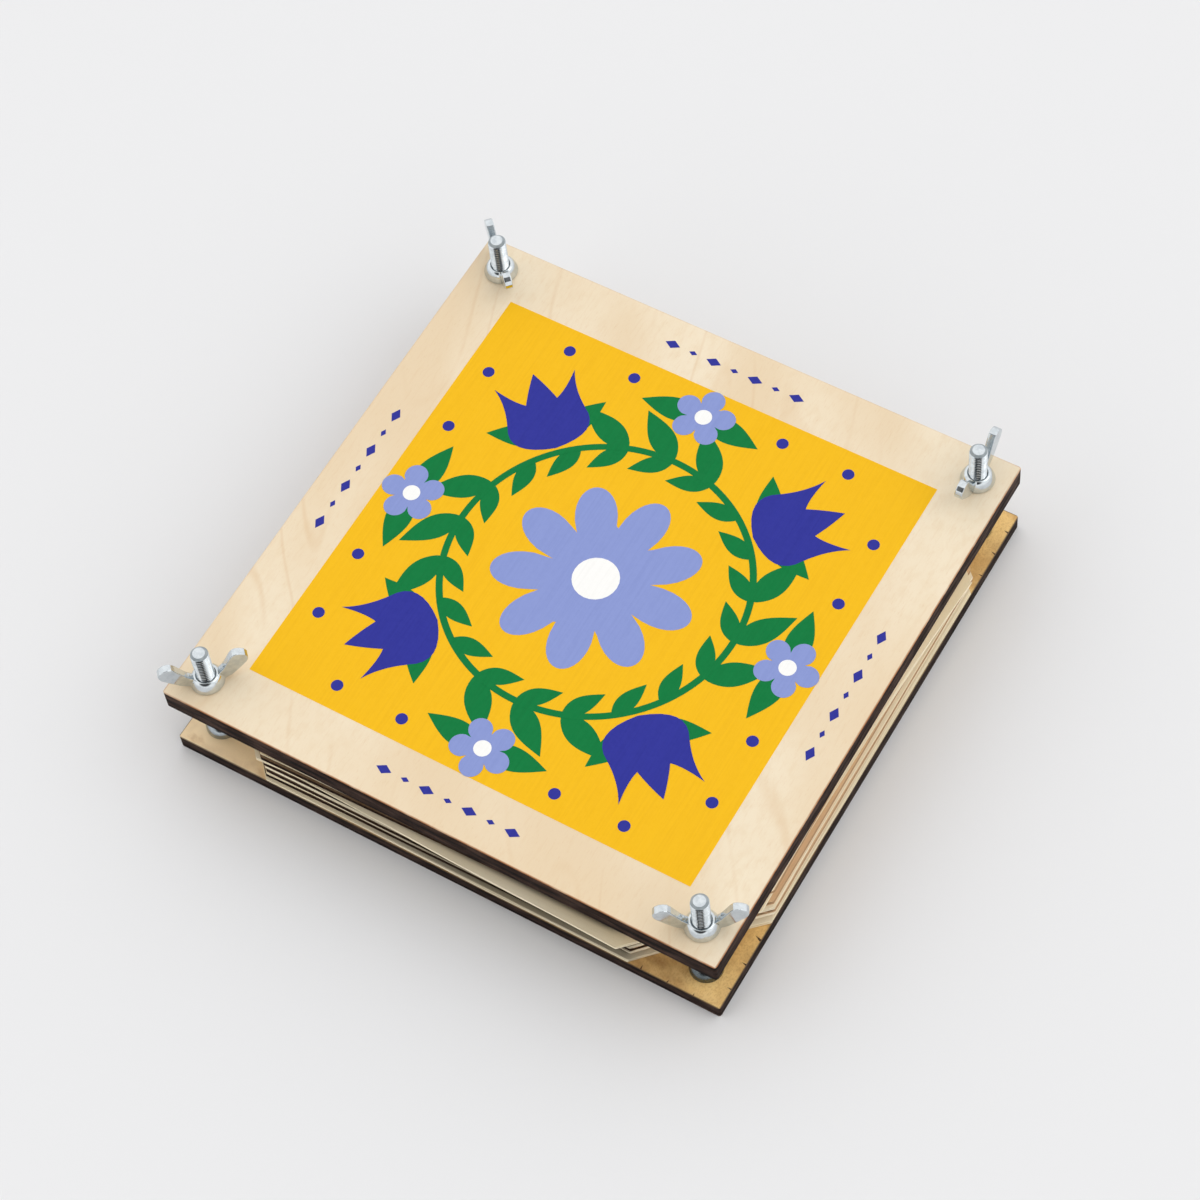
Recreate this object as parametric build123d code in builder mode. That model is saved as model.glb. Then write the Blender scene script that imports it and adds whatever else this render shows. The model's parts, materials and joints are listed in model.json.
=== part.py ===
from build123d import *
import os
from math import cos, radians, sin, sqrt

# Flower press. Two square plywood boards squeeze a stack of corrugated cards and blotting papers.
# Bolts stand up from the bottom board at its corners, and wing nuts on them pull the top board down.
# X runs along the front-left side, Y along the front-right side, and Z up. The origin is in the middle
# of the underside, which rests on the table.

# Boards
board_side = 160.0
board_corner_r = 0.8
top_board_t = 6.8
bottom_board_t = 4.6
bolt_inset = 8.4
board_hole_clearance = 0.3

# Bolts
bolt_d = 4.8
bolt_end_above_top_board = 13.6
bolt_end_chamfer = 0.8
bolt_head_d = 9.2
bolt_head_rim_h = 0.4
bolt_head_recess = 0.2
bolt_socket_flats = 3.0
bolt_socket_depth = 1.6
bolt_seat_clearance = 0.05

# Nuts that lock the bolts to the bottom board
thread_clearance = 0.05
lock_nut_d = 8.8
lock_nut_h = 3.4
lock_nut_dome_r = 2.6

# Wing nuts
wing_boss_base_d = 9.2
wing_boss_top_d = 7.7
wing_boss_h = 3.3
wing_boss_foot_r = 0.25
wing_boss_shoulder_r = 0.8
wing_mouth_chamfer = 0.25
wing_span = 23.6
wing_h = 10.4
wing_t = 2.1
wing_corner_r = 1.2
wing_edge_r = 0.4

# Cards and papers
sheet_margin = 0.7
sheet_bolt_gap = 3.1
sheet_slip = 1.0
paper_t = 0.72
liner_t = 0.22
flute_h = 1.16
flute_pitch = 3.28
flute_wall = 0.2
flute_crest_share = 0.24

# One overrun serves all cuts.
overrun = 1.0

# The stack from the bottom up: kind, slip along X and along Y as shares of sheet_slip, turn in degrees.
stack_slip_shares = [
    ("paper", 0.60, -0.55, 0.0),
    ("paper", 0.45, -0.60, 0.2),
    ("card", -0.50, 0.55, 0.65),
    ("paper", 0.35, 0.20, 0.4),
    ("paper", 0.50, 0.25, 0.3),
    ("card", 0.55, 0.33, 0.45),
    ("paper", 0.60, 0.30, 0.3),
    ("paper", 0.65, 0.20, 0.2),
    ("card", -0.10, 0.57, 0.6),
    ("paper", 0.50, -1.25, -1.1),
    ("paper", 0.60, -1.30, -1.2),
    ("card", -1.20, 1.10, 1.3),
    ("paper", -0.90, 1.20, 0.8),
    ("paper", -1.10, 1.30, 0.6),
    ("card", -1.30, 1.40, 0.9),
    ("paper", -1.20, 1.50, 0.5),
    ("paper", -1.40, 1.40, 0.7),
]

# The corners: name, side of X, side of Y, and the turn of the wings in degrees.
corners = [
    ("front", 1, -1, 30.1),
    ("left", -1, -1, 43.8),
    ("right", 1, 1, 90.6),
    ("rear", -1, 1, -44.2),
]

# One wing's outline: shares of its reach out from the axis, and of its height above the board.
wing_outline_shares = [
    (0.24, 0.04),
    (0.40, 0.06),
    (0.56, 0.15),
    (0.76, 0.36),
    (0.96, 0.60),
    (1.00, 0.80),
    (0.84, 0.99),
    (0.66, 0.99),
    (0.40, 0.46),
    (0.27, 0.27),
]
wing_root_share = 0.6

# Worked-out heights
card_t = flute_h + 2 * liner_t
sheet_thickness = {"paper": paper_t, "card": card_t}
stack_z = bottom_board_t
top_board_z = stack_z + sum(sheet_thickness[kind] for kind, *_ in stack_slip_shares)
top_face_z = top_board_z + top_board_t
bolt_end_z = top_face_z + bolt_end_above_top_board
head_cone_z = bolt_head_recess + bolt_head_rim_h

# Worked-out radii and widths
bolt_spread = board_side - 2 * bolt_inset
bolt_r = bolt_d / 2
head_r = bolt_head_d / 2
head_cone_h = head_r - bolt_r
board_hole_r = bolt_r + board_hole_clearance
seat_hole_r = bolt_r + bolt_seat_clearance
seat_head_r = head_r + bolt_seat_clearance
nut_bore_r = bolt_r + thread_clearance
lock_nut_r = lock_nut_d / 2
sheet_side = board_side - 2 * sheet_margin
sheet_clip = 2 * (bolt_inset - sheet_margin) + sqrt(2) * (lock_nut_r + sheet_bolt_gap)

os.makedirs("parts", exist_ok=True)


def level_plane(x, y, z, turn=0.0):
    """A level plane at height z, with its own X at the turn."""
    return Plane(origin=(x, y, z), x_dir=(cos(radians(turn)), sin(radians(turn)), 0), z_dir=(0, 0, 1))


def upright_plane(x, y, z=0.0, turn=0.0):
    """An upright plane through the point x, y, z: its own X lies level at the turn, its own Y is up."""
    level = (cos(radians(turn)), sin(radians(turn)), 0)
    return Plane(origin=(x, y, z), x_dir=level, z_dir=(level[1], -level[0], 0))


def save(piece, name):
    """Name a finished piece and write it to its own file."""
    piece.label = name
    export_step(piece, f"parts/{name}.step")


# Top board: plywood with a clearance hole for each bolt.
with BuildPart() as top_board:
    with BuildSketch(Plane.XY.offset(top_board_z)):
        RectangleRounded(board_side, board_side, board_corner_r)
        with GridLocations(bolt_spread, bolt_spread, 2, 2):
            Circle(board_hole_r, mode=Mode.SUBTRACT)
    extrude(amount=top_board_t)
save(top_board.part, "top_board")

# Bottom board: thinner plywood, its holes countersunk from below for the bolts' heads.
with BuildPart() as bottom_board:
    with BuildSketch():
        RectangleRounded(board_side, board_side, board_corner_r)
    extrude(amount=bottom_board_t)
    for _, side_x, side_y, _ in corners:
        bolt_x = side_x * bolt_spread / 2
        bolt_y = side_y * bolt_spread / 2
        with BuildSketch(upright_plane(bolt_x, bolt_y)):
            with BuildLine():
                Polyline(
                    (0, -overrun),
                    (seat_head_r, -overrun),
                    (seat_head_r, head_cone_z),
                    (seat_hole_r, head_cone_z + head_cone_h),
                    (seat_hole_r, bottom_board_t + overrun),
                    (0, bottom_board_t + overrun),
                    close=True,
                )
            make_face()
        revolve(axis=Axis((bolt_x, bolt_y, 0), (0, 0, 1)), mode=Mode.SUBTRACT)
save(bottom_board.part, "bottom_board")

# Bolts, lock nuts and wing nuts, one of each at every corner.
for name, side_x, side_y, turn in corners:
    bolt_x = side_x * bolt_spread / 2
    bolt_y = side_y * bolt_spread / 2
    bolt_axis = Axis((bolt_x, bolt_y, 0), (0, 0, 1))

    # Bolt: a countersunk head with a hexagon socket, and a straight shank up through both boards.
    with BuildPart() as bolt:
        with BuildSketch(upright_plane(bolt_x, bolt_y)):
            with BuildLine():
                Polyline(
                    (0, bolt_head_recess),
                    (head_r, bolt_head_recess),
                    (head_r, head_cone_z),
                    (bolt_r, head_cone_z + head_cone_h),
                    (bolt_r, bolt_end_z - bolt_end_chamfer),
                    (bolt_r - bolt_end_chamfer, bolt_end_z),
                    (0, bolt_end_z),
                    close=True,
                )
            make_face()
        revolve(axis=bolt_axis)
        with BuildSketch(level_plane(bolt_x, bolt_y, bolt_head_recess)):
            RegularPolygon(bolt_socket_flats / 2, 6, major_radius=False)
        extrude(amount=bolt_socket_depth, mode=Mode.SUBTRACT)
    save(bolt.part, f"bolt_{name}")

    # Lock nut: a round nut with a domed shoulder, screwed down on the bottom board.
    with BuildPart() as lock_nut:
        with BuildSketch(upright_plane(bolt_x, bolt_y, stack_z)) as dome:
            with BuildLine():
                Polyline((0, 0), (lock_nut_r, 0), (lock_nut_r, lock_nut_h), (0, lock_nut_h), close=True)
            make_face()
            shoulder = dome.vertices().sort_by(Axis.X)[2:].sort_by(Axis.Y)[-1]
            fillet(shoulder, lock_nut_dome_r)
        revolve(axis=bolt_axis)
        with BuildSketch(level_plane(bolt_x, bolt_y, stack_z)):
            Circle(nut_bore_r)
        extrude(amount=lock_nut_h, mode=Mode.SUBTRACT)
    save(lock_nut.part, f"lock_nut_{name}")

    # Wing nut: a low boss with a round shoulder and two flared wings. Its flat base is on the top board.
    with BuildPart() as wing_nut:
        with BuildSketch(upright_plane(bolt_x, bolt_y, top_face_z, turn)) as wings:
            for side in (1, -1):
                with BuildLine():
                    Polyline(
                        [
                            (side * wing_span / 2 * out_share, wing_h * up_share)
                            for out_share, up_share in wing_outline_shares
                        ],
                        close=True,
                    )
                make_face()
            root = wing_root_share * wing_span / 2
            fillet([corner for corner in wings.vertices() if abs(corner.X) > root], wing_corner_r)
        extrude(amount=wing_t / 2, both=True)
        across = Axis((0, 0, 0), upright_plane(bolt_x, bolt_y, top_face_z, turn).z_dir)
        flanks = wing_nut.faces().sort_by(across)
        fillet(flanks[:2].edges() + flanks[-2:].edges(), wing_edge_r)
        with BuildSketch(upright_plane(bolt_x, bolt_y, top_face_z)) as boss:
            with BuildLine():
                Polyline(
                    (0, 0),
                    (wing_boss_base_d / 2, 0),
                    (wing_boss_top_d / 2, wing_boss_h),
                    (0, wing_boss_h),
                    close=True,
                )
            make_face()
            foot, shoulder = boss.vertices().sort_by(Axis.X)[2:].sort_by(Axis.Y)
            fillet(foot, wing_boss_foot_r)
            fillet(shoulder, wing_boss_shoulder_r)
        revolve(axis=bolt_axis)
        with BuildSketch(upright_plane(bolt_x, bolt_y, top_face_z)):
            with BuildLine():
                Polyline(
                    (0, 0),
                    (nut_bore_r, 0),
                    (nut_bore_r, wing_boss_h - wing_mouth_chamfer),
                    (nut_bore_r + wing_mouth_chamfer, wing_boss_h),
                    (0, wing_boss_h),
                    close=True,
                )
            make_face()
        revolve(axis=bolt_axis, mode=Mode.SUBTRACT)
    save(wing_nut.part, f"wing_nut_{name}")

# Flutes of a card, in its cross-section: channels under the crests of the wavy ply and over its troughs.
flute_count = int(sheet_side / flute_pitch)
crest_half = flute_pitch * flute_crest_share / 2
foot_half = flute_pitch / 2 - crest_half
flute_floor = liner_t
flute_roof = liner_t + flute_h

# The stack of cards and papers, numbered from the bottom up.
sheet_z = stack_z
sheet_numbers = {"paper": 0, "card": 0}
for kind, slip_x_share, slip_y_share, turn in stack_slip_shares:
    sheet_numbers[kind] += 1
    sheet_x = slip_x_share * sheet_slip
    sheet_y = slip_y_share * sheet_slip

    # Card: two flat liners with a wavy ply between them. The flutes run along Y.
    # Paper: a plain sheet. Both have their corners clipped to pass the bolts.
    with BuildPart() as sheet:
        with BuildSketch(upright_plane(sheet_x, sheet_y, sheet_z, turn)):
            with Locations((0, sheet_thickness[kind] / 2)):
                Rectangle(sheet_side, sheet_thickness[kind])
            if kind == "card":
                with GridLocations(flute_pitch, 0, flute_count, 1):
                    Polygon(
                        (-foot_half, flute_floor),
                        (foot_half, flute_floor),
                        (crest_half, flute_roof - flute_wall),
                        (-crest_half, flute_roof - flute_wall),
                        align=None,
                        mode=Mode.SUBTRACT,
                    )
                with GridLocations(flute_pitch, 0, flute_count - 1, 1):
                    Polygon(
                        (-foot_half, flute_roof),
                        (-crest_half, flute_floor + flute_wall),
                        (crest_half, flute_floor + flute_wall),
                        (foot_half, flute_roof),
                        align=None,
                        mode=Mode.SUBTRACT,
                    )
        extrude(amount=sheet_side / 2, both=True)
        with BuildSketch(level_plane(sheet_x, sheet_y, sheet_z, turn)) as outline:
            Rectangle(sheet_side, sheet_side)
            chamfer(outline.vertices(), sheet_clip)
        extrude(amount=sheet_thickness[kind], mode=Mode.INTERSECT)
    save(sheet.part, f"{kind}_{sheet_numbers[kind]}")
    sheet_z += sheet_thickness[kind]
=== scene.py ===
import json
import math

import bmesh
import bpy
from mathutils import Matrix, Vector


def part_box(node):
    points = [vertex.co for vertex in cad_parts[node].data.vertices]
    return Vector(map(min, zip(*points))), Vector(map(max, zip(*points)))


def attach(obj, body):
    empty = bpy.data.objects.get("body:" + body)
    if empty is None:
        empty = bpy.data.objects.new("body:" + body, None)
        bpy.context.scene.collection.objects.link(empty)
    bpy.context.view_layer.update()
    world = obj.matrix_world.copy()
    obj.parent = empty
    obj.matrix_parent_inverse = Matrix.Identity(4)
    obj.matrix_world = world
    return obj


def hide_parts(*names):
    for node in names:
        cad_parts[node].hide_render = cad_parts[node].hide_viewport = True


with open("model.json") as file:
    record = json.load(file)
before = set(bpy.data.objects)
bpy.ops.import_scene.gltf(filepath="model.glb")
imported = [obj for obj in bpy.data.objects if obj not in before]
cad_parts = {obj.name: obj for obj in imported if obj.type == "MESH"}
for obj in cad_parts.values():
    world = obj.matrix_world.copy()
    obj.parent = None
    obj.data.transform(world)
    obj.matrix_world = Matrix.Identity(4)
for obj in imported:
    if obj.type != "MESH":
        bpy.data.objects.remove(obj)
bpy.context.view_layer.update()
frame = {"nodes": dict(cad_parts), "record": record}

# Bottom board: a square of thin birch plywood, cut out by laser and drilled for the four bolts.
# Smoke from the cut stained its faces amber and charred its edges almost black.
mm = 0.001
per_mm = 1000.0
corner_names = ("front", "left", "right", "rear")
bolt_spots = {}
for corner in corner_names:
    bolt_low, bolt_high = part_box(f"bolt_{corner}")
    bolt_spots[corner] = (bolt_low + bolt_high) / 2
board_corner_r = 0.8 * mm
board_corner_steps = 9
board_rim_round = 0.16 * mm
board_crease = 30.0
bolt_r = 2.4 * mm
bolt_hole_r = 2.55 * mm
bolt_head_r = 4.6 * mm
bolt_head_sunk = 0.2 * mm
bolt_head_rim = 0.4 * mm
bolt_sides = 48
countersink_slack = 0.1 * mm
cut_overrun = 1.0 * mm
merge_reach = 0.001 * mm
bottom_ply_count = 3

# A noise is given by the length of its lumps along X, Y and Z, in millimetres, and by its detail. What it shows is
# given by the value where it sets in, the value where it is full, and how strong it then is.
noise_range = (0.3, 0.7)
noise_roughness = 0.55
fibre_noise, fibre_show = ((0.8, 7.0, 7.0), 4.0), (0.50, 0.80, 0.15)
hair_noise, hair_show, hair_relief = ((0.22, 1.6, 1.6), 2.0), (0.56, 0.80, 0.22), 0.5
mottle_noise, mottle_show = ((2.4, 4.0, 4.0), 3.0), (0.42, 0.72, 0.4)
broad_noise, broad_show = ((42.0, 90.0, 90.0), 2.0), (0.36, 0.66)
swirl_noise, swirl_rings, ring_line = ((34.0, 120.0, 120.0), 1.0), 9.0, (0.11, 0.0)
gap_noise, gap_show = ((18.0, 40.0, 40.0), 2.0), (0.42, 0.66, 0.0, 0.24)
ridge_noise = ((0.35, 0.35, 9.0), 2.0)
char_noise, ember_show, char_rough = ((9.0, 9.0, 2.0), 3.0), (0.40, 0.75, 0.75), (0.72, 0.5)
char_gloss, char_relief = 0.06, 0.06 * mm
ply_contrast, seam_line, seam_share = 0.35, (0.09, 0.0), 0.6


def srgb(red, green, blue):
    """A colour by its values on a screen, 0 to 255, as a shader takes it."""
    shares = [value / 255 for value in (red, green, blue)]
    return tuple(((s + 0.055) / 1.055) ** 2.4 if s > 0.04 else s / 12.92 for s in shares) + (1.0,)


def node(tree, kind, inputs=None, **settings):
    """Adds a node. Each input is a plain value or the output that feeds it."""
    made = tree.nodes.new(kind)
    for key, value in settings.items():
        setattr(made, key, value)
    for key, value in (inputs or {}).items():
        if isinstance(value, bpy.types.NodeSocket):
            tree.links.new(value, made.inputs[key])
        else:
            made.inputs[key].default_value = value
    return made


def calc(operation, first, second=0.0, third=0.0):
    """One step of arithmetic, in the node tree of its first value."""
    return node(first.id_data, "ShaderNodeMath", {0: first, 1: second, 2: third}, operation=operation).outputs[0]


def times(product, *factors):
    """A product of values."""
    for factor in factors:
        product = calc("MULTIPLY", product, factor)
    return product


def measure(operation, first, second):
    """A number that two vectors give, such as their distance."""
    return node(first.id_data, "ShaderNodeVectorMath", {0: first, 1: second}, operation=operation).outputs["Value"]


def axes(place):
    """The X, Y and Z of a place."""
    return node(place.id_data, "ShaderNodeSeparateXYZ", {0: place}).outputs


def tint(share, first, second):
    """A mix of two colours."""
    return node(share.id_data, "ShaderNodeMix", {0: share, 6: first, 7: second}, data_type="RGBA").outputs[2]


def grade(value, start, end, low=0.0, high=1.0):
    """A smooth step from low to high as a value goes from start to end."""
    inputs = {"Value": value, "From Min": start, "From Max": end, "To Min": low, "To Max": high}
    return node(value.id_data, "ShaderNodeMapRange", inputs, interpolation_type="SMOOTHSTEP").outputs[0]


def stain(colour, other, value, start, end, share=1.0):
    """A colour that takes on a share of another as a value goes from start to end."""
    return tint(grade(value, start, end, 0.0, share), colour, other)


def across(noise, low=0.0, high=1.0):
    """The usual range of a noise, stretched to go from low to high."""
    return grade(noise, *noise_range, low, high)


def cloud(place, lumps, detail, turn=0.0, shift=(0.0, 0.0, 0.0)):
    """Cloudy noise, with its lumps so many millimetres long."""
    tree = place.id_data
    turned = node(tree, "ShaderNodeVectorRotate", {"Vector": place, "Angle": turn}, rotation_type="Z_AXIS")
    sizes = {"Scale": [per_mm / length for length in lumps], "Location": shift}
    mapped = node(tree, "ShaderNodeMapping", {"Vector": turned.outputs[0], **sizes})
    inputs = {"Vector": mapped.outputs[0], "Scale": 1.0, "Detail": detail, "Roughness": noise_roughness}
    return node(tree, "ShaderNodeTexNoise", inputs).outputs[0]


def finish(name, gloss=0.5, metallic=0.0):
    """A new material, with its shader and the coordinates of the piece that wears it."""
    material = bpy.data.materials.new(name)
    material.use_nodes = True
    tree = material.node_tree
    tree.nodes.clear()
    shader = node(tree, "ShaderNodeBsdfPrincipled", {"Specular IOR Level": gloss, "Metallic": metallic})
    node(tree, "ShaderNodeOutputMaterial", {"Surface": shader.outputs[0]})
    place = node(tree, "ShaderNodeTexCoord").outputs["Object"]
    return material, shader, place


def coat(shader, colour, roughness, height, depth):
    """Joins a colour, a roughness and the height of the fine relief to a shader."""
    tree = shader.id_data
    tree.links.new(colour, shader.inputs["Base Color"])
    tree.links.new(roughness, shader.inputs["Roughness"])
    relief = node(tree, "ShaderNodeBump", {"Height": height, "Distance": depth, "Strength": 1.0})
    tree.links.new(relief.outputs[0], shader.inputs["Normal"])


def rim_distance(place, half):
    """How far a point of a board's face lies in from its nearest edge, in millimetres."""
    x, y, z = axes(place)
    furthest = calc("MAXIMUM", calc("ABSOLUTE", x), calc("ABSOLUTE", y))
    return calc("MULTIPLY_ADD", furthest, -per_mm, half * per_mm)


def birch(place, pale, warm, amber, figure_turn, shift):
    """Rotary-cut birch: fine fibres along Y, crossed by soft amber figure. Gives its colour and its fibres."""
    fibre = cloud(place, *fibre_noise, 0.0, shift)
    hair = cloud(place, *hair_noise, 0.0, shift)
    mottle = cloud(place, *mottle_noise, 0.0, shift)
    broad = cloud(place, *broad_noise, figure_turn, shift)
    swirl = cloud(place, *swirl_noise, figure_turn, shift)
    gaps = cloud(place, *gap_noise, figure_turn, shift)
    rings = calc("PINGPONG", times(swirl, swirl_rings), 0.5)
    figure = times(grade(rings, *ring_line), grade(gaps, *gap_show))
    colour = stain(pale, warm, broad, *broad_show)
    colour = stain(colour, warm, mottle, *mottle_show)
    colour = tint(figure, colour, amber)
    colour = stain(colour, amber, fibre, *fibre_show)
    colour = stain(colour, amber, hair, *hair_show)
    return colour, calc("MULTIPLY_ADD", hair, hair_relief, fibre)


def charred_edge(name, low, high, plies, soot, ember):
    """A laser-cut plywood edge: charred dark, ridged upright by the beam, with its plies still showing."""
    material, shader, place = finish(name, char_gloss)
    x, y, z = axes(place)
    layer = calc("DIVIDE", calc("SUBTRACT", z, low), (high - low) / plies)
    seam = times(grade(calc("PINGPONG", layer, 0.5), *seam_line), seam_share)
    turn_about = calc("FLOOR", calc("FLOORED_MODULO", layer, 2.0))
    ridge = cloud(place, *ridge_noise)
    patch = cloud(place, *char_noise)
    colour = stain(soot, ember, patch, *ember_show)
    colour = tint(times(turn_about, ply_contrast), colour, ember)
    colour = tint(seam, colour, soot)
    coat(shader, colour, across(patch, *char_rough), calc("SUBTRACT", ridge, seam), char_relief)
    return material


def mesh_of(name, points, faces):
    """A mesh with its doubles merged and its faces turned outwards."""
    mesh = bpy.data.meshes.new(name)
    mesh.from_pydata([tuple(p) for p in points], [], faces)
    work = bmesh.new()
    work.from_mesh(mesh)
    bmesh.ops.remove_doubles(work, verts=work.verts, dist=merge_reach)
    bmesh.ops.recalc_face_normals(work, faces=work.faces)
    work.to_mesh(mesh)
    work.free()
    return mesh


def stack_rings(rings, hollow=False):
    """Points and faces of a skin over rings of points, capped at both ends, or hollow with its ends joined."""
    count = len(rings[0])
    points = [point for ring in rings for point in ring]
    faces = []
    if not hollow:
        faces = [tuple(reversed(range(count))), tuple(range(len(points) - count, len(points)))]
    for level in range(len(rings) if hollow else len(rings) - 1):
        a, b = level * count, (level + 1) % len(rings) * count
        for i in range(count):
            j = (i + 1) % count
            faces.append((a + i, a + j, b + j, b + i))
    return points, faces


def ring_of(centre, radius_at, z, sides):
    """A ring of points, with a radius for every angle."""
    ring = []
    for i in range(sides):
        angle = 2 * math.pi * i / sides
        reach = radius_at(angle)
        ring.append((centre[0] + reach * math.cos(angle), centre[1] + reach * math.sin(angle), z))
    return ring


def lathe(profile, centre, sides, hollow=False):
    """Points and faces of a turned shape: radius and height pairs, from bottom to top."""
    return stack_rings([ring_of(centre, lambda a: radius, z, sides) for radius, z in profile], hollow)


def together(shapes):
    """Several sets of points and faces as one."""
    points, faces = [], []
    for more_points, more_faces in shapes:
        faces += [tuple(i + len(points) for i in face) for face in more_faces]
        points += more_points
    return points, faces


def put(name, mesh):
    """An object at the origin for a mesh that has its place in itself."""
    piece = bpy.data.objects.new(name, mesh)
    bpy.context.scene.collection.objects.link(piece)
    return piece


def piece_of(name, shape):
    """An object at the origin from points and faces."""
    return put(name, mesh_of(name, *shape))


def dress(piece, *finishes):
    """Gives a piece its finishes, with the first one all over."""
    piece.data.materials.clear()
    for worn in finishes:
        piece.data.materials.append(worn)


def settle(piece):
    """Leaves a piece with the plain mesh that its modifiers make."""
    bpy.context.view_layer.update()
    worked = piece.evaluated_get(bpy.context.evaluated_depsgraph_get())
    mesh = bpy.data.meshes.new_from_object(worked)
    piece.modifiers.clear()
    piece.data = mesh


def clear_away(piece):
    """Removes a helper object that was needed only to shape another piece."""
    bpy.data.objects.remove(piece)


def smooth(mesh, crease):
    """Smooth shading, kept crisp where two faces meet at more than crease degrees."""
    mesh.polygons.foreach_set("use_smooth", [True] * len(mesh.polygons))
    mesh.set_sharp_from_angle(angle=math.radians(crease))


def rounded_square(half, radius, z):
    """The corners' arcs of a square with round corners, as a ring of points."""
    ring = []
    for quarter, (side_x, side_y) in enumerate(((1, 1), (-1, 1), (-1, -1), (1, -1))):
        for step in range(board_corner_steps + 1):
            angle = math.radians(90 * (quarter + step / board_corner_steps))
            x = (half - radius) * side_x + radius * math.cos(angle)
            y = (half - radius) * side_y + radius * math.sin(angle)
            ring.append((x, y, z))
    return ring


def board_mesh(name, low, high, hole_profile, face_finish, edge_finish):
    """A plywood board with round corners and slightly eased rims, drilled at every bolt."""
    half, eased = high[0], high[0] - board_rim_round
    inner_r = board_corner_r - board_rim_round
    levels = [
        rounded_square(eased, inner_r, low[2]),
        rounded_square(half, board_corner_r, low[2] + board_rim_round),
        rounded_square(half, board_corner_r, high[2] - board_rim_round),
        rounded_square(eased, inner_r, high[2]),
    ]
    board = piece_of(name, stack_rings(levels))
    holes = [lathe(hole_profile, spot, bolt_sides) for spot in bolt_spots.values()]
    drill = piece_of(f"{name}_drill", together(holes))
    bore = board.modifiers.new("bore", "BOOLEAN")
    bore.operation, bore.solver, bore.object = "DIFFERENCE", "EXACT", drill
    settle(board)
    clear_away(drill)
    dress(board, face_finish, edge_finish)
    for face in board.data.polygons:
        face.material_index = 0 if abs(face.normal.z) > 0.5 else 1
    smooth(board.data, board_crease)
    return board


bottom_low, bottom_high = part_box("bottom_board")
bottom_wood = (srgb(253, 220, 152), srgb(244, 202, 126), srgb(204, 150, 80))
bottom_figure = (math.radians(18), (3.1, 0.7, 0.0))
speckle_noise, speckle_show, speckle_brown = ((0.36, 0.55, 0.55), 2.0), (0.42, 0.72, 0.42), srgb(198, 146, 78)
paler_left_and_painted_light_show, paler_left_tan_and_painted_light = (40.0, 72.0, 0.9), srgb(254, 230, 190)
waver_noise, scorch_wander = ((7.0, 7.0, 7.0), 3.0), 14.0
scorch_show, scorch_brown = (10.0, 3.5, 0.35), srgb(150, 102, 54)
smoke_noise = ((11.0, 8.0, 8.0), 4.0, 0.4, (1.7, 0.2, 0.0))
smoke_show, smoke_below_and_above, smoke_brown = (0.50, 0.64), (0.12, 0.4), srgb(176, 122, 60)
front_patch_spot, front_patch_reach = (58.0 * mm, -74.0 * mm, bottom_high[2]), (15.0 * mm, 3.0 * mm)
front_patch_show, front_patch_brown = (0.35, 0.60, 0.35, 0.85), srgb(150, 98, 44)
burnt_show, burnt_brown = (0.40, 0.05, 0.9), srgb(66, 42, 28)
bottom_rough, bottom_relief = (0.55, 0.68), 0.03 * mm

smoked_face, shader, place = finish("smoked_birch_face")
x, y, z = axes(place)
wood, fibres = birch(place, *bottom_wood, *bottom_figure)
wood = stain(wood, speckle_brown, cloud(place, *speckle_noise), *speckle_show)
# Lighter tan towards the left corner: partly the wood's own paler colour, partly painted light where the top board
# shades this corner.
leftwards = times(calc("ADD", x, y), -per_mm / 2)
wood = stain(wood, paler_left_tan_and_painted_light, leftwards, *paler_left_and_painted_light_show)
inwards = rim_distance(place, bottom_high[0])
waver = cloud(place, *waver_noise)
wandering = calc("MULTIPLY_ADD", waver, scorch_wander, inwards)
wood = stain(wood, scorch_brown, wandering, *scorch_show)
smoke = cloud(place, *smoke_noise)
smoke_share = grade(z, bottom_low[2], bottom_high[2], *smoke_below_and_above)
wood = tint(times(grade(smoke, *smoke_show), smoke_share), wood, smoke_brown)
# Darker brown patches, drawn from the smoke's noise, within 15 mm of a spot left of the front lock nut, under the top
# board's front corner.
front_patch = grade(measure("DISTANCE", place, front_patch_spot), *front_patch_reach)
wood = tint(times(front_patch, grade(smoke, *front_patch_show)), wood, front_patch_brown)
wood = stain(wood, burnt_brown, inwards, *burnt_show)
coat(shader, wood, across(waver, *bottom_rough), fibres, bottom_relief)

edge_soot, bottom_ember = srgb(20, 14, 13), srgb(68, 46, 36)
bottom_layers = (bottom_low[2], bottom_high[2], bottom_ply_count)
bottom_edge = charred_edge("charred_bottom_edge", *bottom_layers, edge_soot, bottom_ember)
cone_top = bolt_head_sunk + bolt_head_rim + bolt_head_r - bolt_r
bottom_hole = [
    (bolt_head_r + countersink_slack, bottom_low[2] - cut_overrun),
    (bolt_head_r + countersink_slack, bottom_low[2] + bolt_head_sunk + bolt_head_rim),
    (bolt_hole_r, bottom_low[2] + cone_top),
    (bolt_hole_r, bottom_high[2] + cut_overrun),
]
bottom = board_mesh("bottom_board_ply", bottom_low, bottom_high, bottom_hole, smoked_face, bottom_edge)
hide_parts("bottom_board")
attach(bottom, "base")

# Burn ticks: small scorched slivers on the bottom board's upper rim, left where the laser beam rested
# on the bars of the cutting bed. They stand in even steps along the front-right side.
tick_step = 7.4 * mm
tick_length = 1.4 * mm
tick_width = 0.55 * mm
tick_depth = 0.02 * mm
tick_shares = [(0, -0.5), (0.5, -0.28), (1, 0), (0.5, 0.22), (0, 0.45)]
tick_sway = math.radians(14)
tick_size_spread = 0.35
tick_seed = 7
side_tick_turn = math.radians(172)
front_tick_turn = math.radians(84)
front_tick_count = 4
front_tick_size = 0.8


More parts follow.
